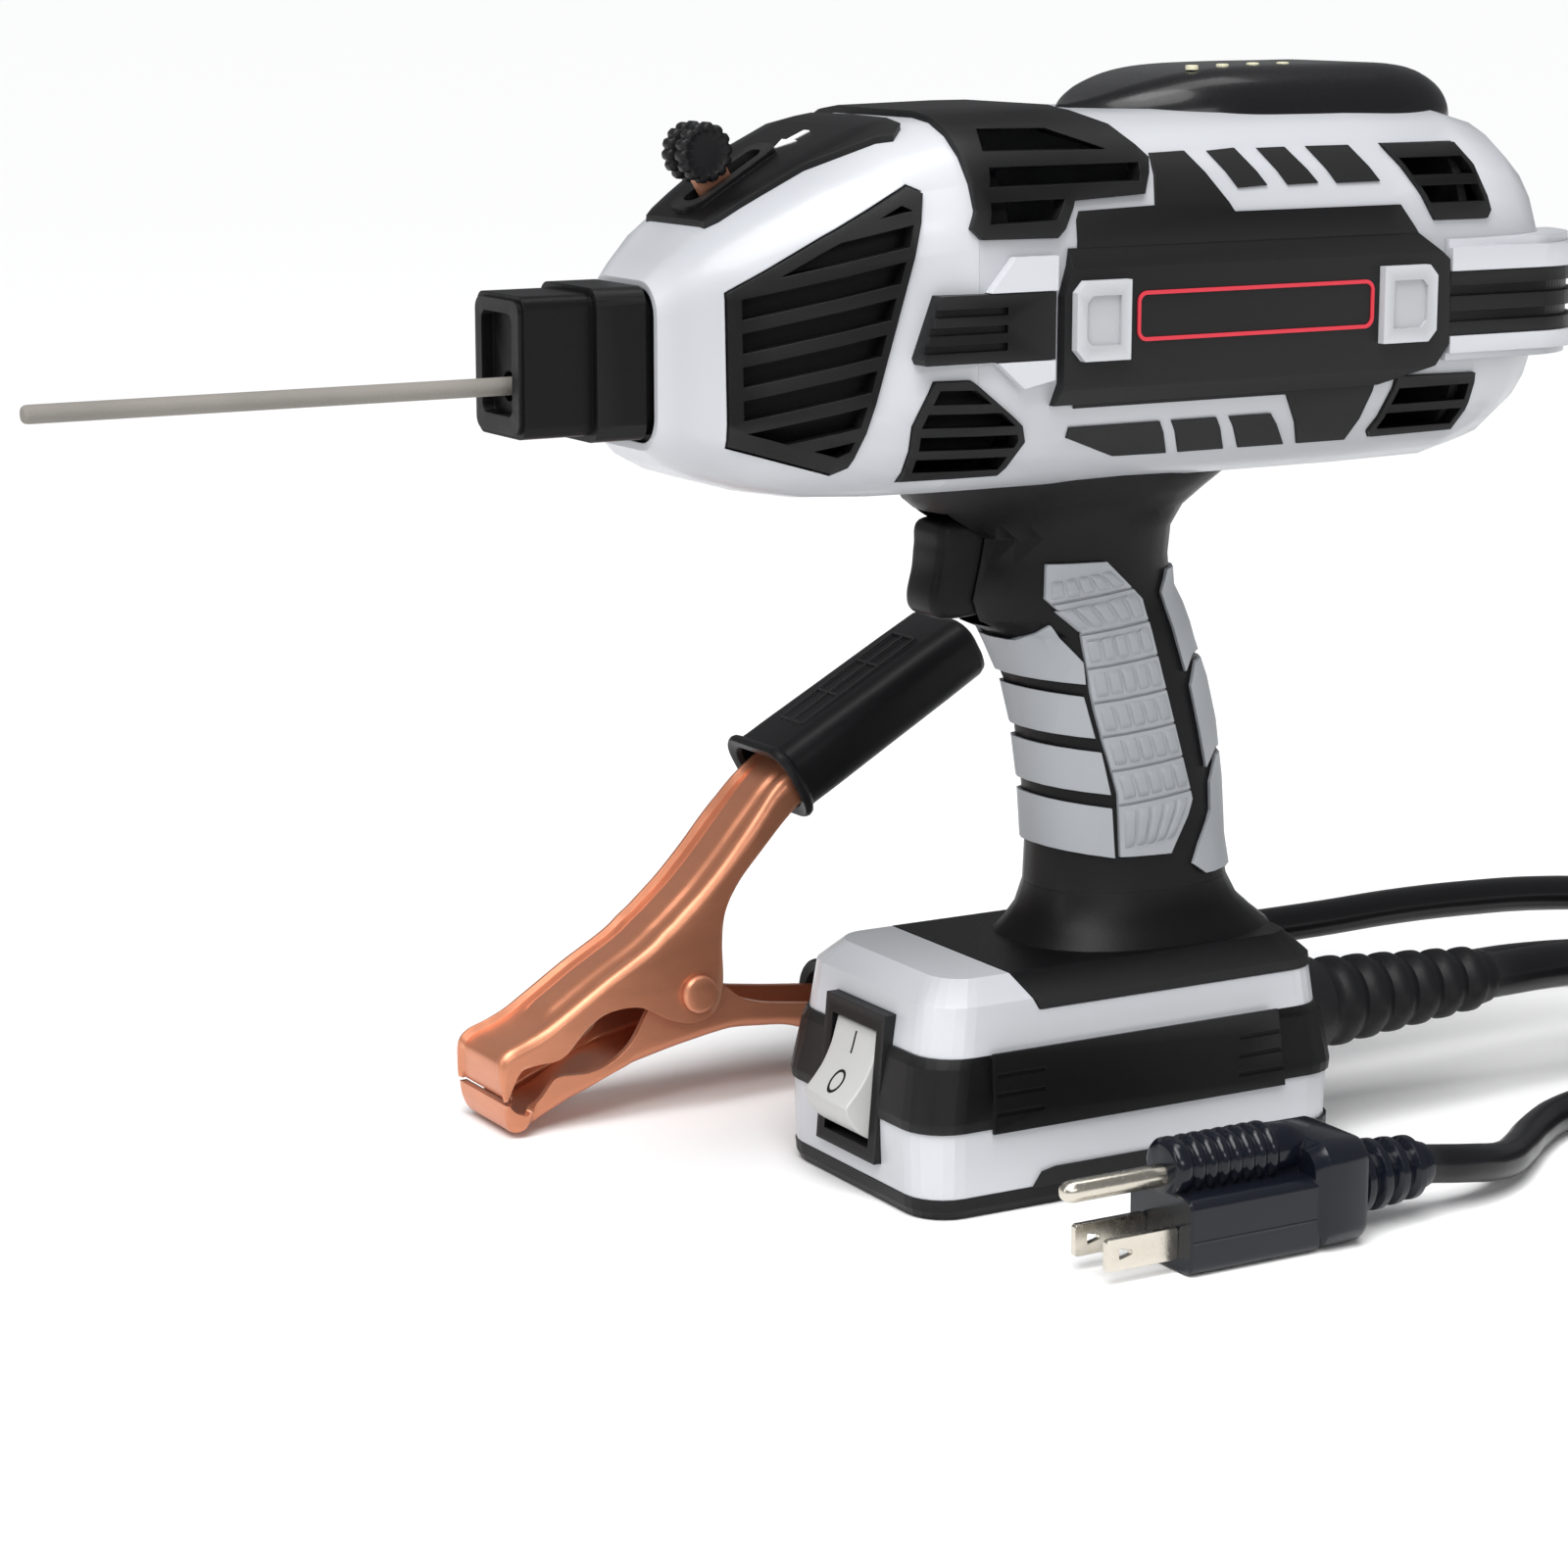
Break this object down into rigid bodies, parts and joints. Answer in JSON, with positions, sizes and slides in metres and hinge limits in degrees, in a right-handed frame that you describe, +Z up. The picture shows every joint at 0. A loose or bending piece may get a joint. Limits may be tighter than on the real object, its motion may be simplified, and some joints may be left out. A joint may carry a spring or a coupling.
{
  "type": "stick welding inverter",
  "caption": "hand-held stick welding inverter with a fed electrode, a mains lead with its plug and an earth lead with its clamp",
  "frame": {"origin": "centre of the base's underside, on the surface it stands on", "axes": "+Z up, the nozzle and the electrode point to -X, +Y to the right of the nozzle's direction seen from behind the nozzle"},
  "size_m": [0.6715, 0.251, 0.2715],
  "materials": {
    "shell_white": "satin moulded plastic, cool white",
    "black_plastic": "fine-grained matte moulded plastic",
    "knob_plastic": "knurled matte plastic",
    "dome_gloss": "satin black moulded cover",
    "copper": "copper-plated pressed steel, lightly brushed",
    "electrode_coating": "grey flux coating",
    "badge_red": "printed red outline",
    "latch_grey": "light grey moulded plastic",
    "inner_plastic": "plain dark plastic",
    "board_green": "solder-masked board",
    "heat_sink_alu": "extruded aluminium",
    "core_iron": "ferrite core",
    "capacitor_sleeve": "shrink sleeve",
    "pad_rubber": "soft grey overmoulded rubber",
    "rocker_white": "white glossy plastic with moulded marks",
    "cable_rubber": "matte moulded rubber",
    "sleeve_vinyl": "dipped vinyl with an embossed grid",
    "plug_vinyl": "glossy moulded vinyl",
    "pin_nickel": "nickel-plated brass",
    "cable_gloss": "smooth cable jacket"
  },
  "bodies": {
    "gun": {"front_shell": "shell_white", "rear_shell": "shell_white", "saddle_band": "black_plastic", "nozzle": "black_plastic", "top_plate": "black_plastic", "electrode": "electrode_coating", "electrode_clamp": "core_iron", "front_vent_left": "black_plastic", "front_vent_right": "black_plastic", "lower_vents": "black_plastic", "panel_left": "black_plastic", "panel_right": "black_plastic", "badge_frames": "badge_red", "latches_left": "latch_grey", "latches_right": "latch_grey", "side_rails": "black_plastic", "tail_guards": "black_plastic", "tail_ledges": "shell_white", "rear_vents": "black_plastic", "dome": "dome_gloss", "rear_grille": "black_plastic", "fan_frame": "inner_plastic", "main_board": "board_green", "heat_sink": "heat_sink_alu", "transformer": "core_iron", "output_choke": "copper", "capacitors": "capacitor_sleeve", "grip": "black_plastic", "side_pad_left": "pad_rubber", "side_pad_right": "pad_rubber", "finger_pads": "pad_rubber", "rear_pads": "pad_rubber", "trigger_switch": "inner_plastic", "base_lower": "shell_white", "base_band": "black_plastic", "base_upper": "shell_white", "base_cover": "black_plastic", "base_foot": "black_plastic", "rocker_frame": "black_plastic", "earth_relief": "cable_rubber", "mains_gland": "cable_rubber", "clamp_jaw_lower": "copper", "clamp_pin": "copper", "sleeve_lower": "sleeve_vinyl", "plug_body": "plug_vinyl", "plug_relief": "plug_vinyl", "plug_pins": "pin_nickel", "mains_lead_out": "cable_gloss", "mains_coil": "cable_gloss", "mains_lead_plug": "cable_gloss", "earth_lead_out": "cable_gloss", "earth_coil": "cable_gloss", "earth_lead_clamp": "cable_gloss"},
    "feed_slide": {"feed_blade": "copper"},
    "knob": {"feed_knob": "knob_plastic"},
    "trigger_lever": {"trigger": "black_plastic"},
    "switch_rocker": {"rocker": "rocker_white"},
    "fan_rotor": {"fan": "inner_plastic"},
    "clamp_lever": {"clamp_jaw_upper": "copper", "sleeve_upper": "sleeve_vinyl"}
  },
  "joints": [
    {"name": "feed", "type": "slide", "parent": "gun", "child": "feed_slide", "axis": [0.8572, 0, 0.515], "range_m": [-0.003, 0.009]},
    {"name": "knob_turn", "type": "hinge", "parent": "feed_slide", "child": "knob", "pos_m": [-0.10364, 0, 0.25334], "axis": [0, 1, 0], "continuous": true},
    {"name": "trigger_pull", "type": "hinge", "parent": "gun", "child": "trigger_lever", "pos_m": [-0.023, 0, 0.16], "axis": [0, -1, 0], "range_deg": [0, 10], "stiffness_Nm_per_rad": 0.35, "springref_deg": -5.16},
    {"name": "switch_throw", "type": "hinge", "parent": "gun", "child": "switch_rocker", "pos_m": [-0.0558, 0, 0.0276], "axis": [0, -1, 0], "range_deg": [0, 40]},
    {"name": "fan_spin", "type": "hinge", "parent": "gun", "child": "fan_rotor", "pos_m": [0.092, 0, 0.217], "axis": [1, 0, 0], "continuous": true},
    {"name": "clamp_open", "type": "hinge", "parent": "gun", "child": "clamp_lever", "pos_m": [-0.0624, 0.091, 0.0316], "axis": [0, 1, 0], "range_deg": [0, 28], "stiffness_Nm_per_rad": 2, "springref_deg": -20.05}
  ]
}
